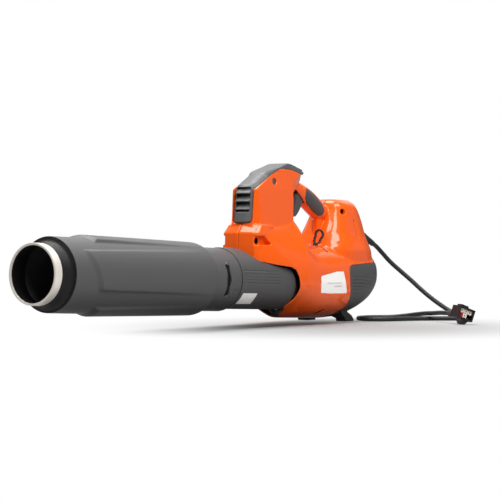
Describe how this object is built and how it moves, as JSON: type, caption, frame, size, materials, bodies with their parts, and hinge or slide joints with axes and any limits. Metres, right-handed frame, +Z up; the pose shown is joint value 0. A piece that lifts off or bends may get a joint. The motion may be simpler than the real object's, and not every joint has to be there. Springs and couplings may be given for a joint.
{
  "type": "leaf blower",
  "caption": "Hand-held axial leaf blower with a round blow tube, moulded body, loop handle with trigger, two rear feet and a supply lead with connector.",
  "frame": {"origin": "centre of the footprint box of the blower without its lead, on the floor under the feet", "axes": "+X from the mouth to the rear along the machine, +Z up, -Y the side that shows the plate"},
  "size_m": [1.0203, 0.3864, 0.2958],
  "materials": {
    "shell_orange": "glossy moulded plastic",
    "tube_charcoal": "fine matt texture",
    "sleeve_charcoal": "fine matt texture",
    "panel_charcoal": "fine matt texture",
    "grille_black": "matt",
    "cover_grey": "fine matt texture",
    "ring_metal": "brushed",
    "button_green": "satin",
    "button_grey": "satin",
    "lens_clear": "clear gloss",
    "board_green": "solder mask",
    "grip_rubber": "soft touch",
    "steel": "bright",
    "eye_dark": "satin",
    "lamination": "stacked sheet edges",
    "copper": "enamelled wire",
    "fan_black": "satin",
    "rubber_black": "matt",
    "cord_black": "smooth jacket",
    "sink_metal": "extruded",
    "label_white": "satin print film, bare",
    "connector_black": "satin",
    "insert_cream": "satin",
    "insert_red": "satin"
  },
  "bodies": {
    "housing": {"fan_duct": "grille_black", "pipe_sleeve": "sleeve_charcoal", "housing_left": "shell_orange", "housing_right": "shell_orange", "top_cover": "cover_grey", "keypad_bezel": "grille_black", "status_lens": "lens_clear", "keypad_board": "board_green", "grip_insert_left": "grip_rubber", "grip_insert_right": "grip_rubber", "trigger_pin": "steel", "trigger_spring": "steel", "trigger_switch": "grille_black", "hanging_eye_pin": "steel", "side_panel_left": "panel_charcoal", "side_panel_right": "panel_charcoal", "inlet_grille": "grille_black", "inlet_bell": "grille_black", "guide_vanes": "grille_black", "tail_cone": "grille_black", "motor_stator": "lamination", "stator_windings": "copper", "front_bearing": "steel", "rear_bearing": "steel", "duct_dampers": "rubber_black", "control_board": "board_green", "heat_sink": "sink_metal", "motor_leads": "cord_black", "front_bumper": "rubber_black", "foot_left": "rubber_black", "foot_right": "rubber_black", "rating_plate": "label_white", "sleeve_sticker": "label_white", "housing_screws": "steel", "cord_gland": "rubber_black", "cord": "cord_black", "connector_boot": "rubber_black", "connector_shell": "connector_black", "connector_insert": "insert_cream", "connector_key": "insert_red"},
    "nozzle": {"wear_ring": "ring_metal", "blow_tube": "tube_charcoal", "extension_pipe": "tube_charcoal"},
    "rotor": {"fan": "fan_black", "fan_spinner": "fan_black", "motor_shaft": "steel", "motor_rotor": "lamination"},
    "trigger": {"trigger": "button_grey"},
    "power_button": {"power_button": "button_green"},
    "boost_button": {"boost_button": "button_grey"},
    "cruise_button": {"cruise_button": "button_grey"},
    "eye": {"hanging_eye": "eye_dark"}
  },
  "joints": [
    {"name": "fan_spin", "type": "hinge", "parent": "housing", "child": "rotor", "pos_m": [0.33821, 0, 0.07232], "axis": [0.9993, 0, -0.0384], "continuous": true},
    {"name": "nozzle_twist", "type": "hinge", "parent": "housing", "child": "nozzle", "pos_m": [-0.02952, 0, 0.08645], "axis": [0.9993, 0, -0.0384], "range_deg": [-50, 0]},
    {"name": "trigger_pull", "type": "hinge", "parent": "housing", "child": "trigger", "pos_m": [0.25253, 0, 0.23873], "axis": [0, -1, 0], "range_deg": [0, 14], "stiffness_Nm_per_rad": 0.8, "springref_deg": -6.88},
    {"name": "power_press", "type": "slide", "parent": "housing", "child": "power_button", "axis": [-0.2639, 0, -0.9646], "range_m": [0, 0.0015], "stiffness_N_per_m": 600, "springref_m": -0.001},
    {"name": "boost_press", "type": "slide", "parent": "housing", "child": "boost_button", "axis": [-0.2639, 0, -0.9646], "range_m": [0, 0.0015], "stiffness_N_per_m": 600, "springref_m": -0.001},
    {"name": "cruise_press", "type": "slide", "parent": "housing", "child": "cruise_button", "axis": [-0.2639, 0, -0.9646], "range_m": [0, 0.0015], "stiffness_N_per_m": 600, "springref_m": -0.001},
    {"name": "eye_fold", "type": "hinge", "parent": "housing", "child": "eye", "pos_m": [0.28278, -0.019, 0.1405], "axis": [0.9993, 0, -0.0384], "range_deg": [-24, 44]}
  ]
}
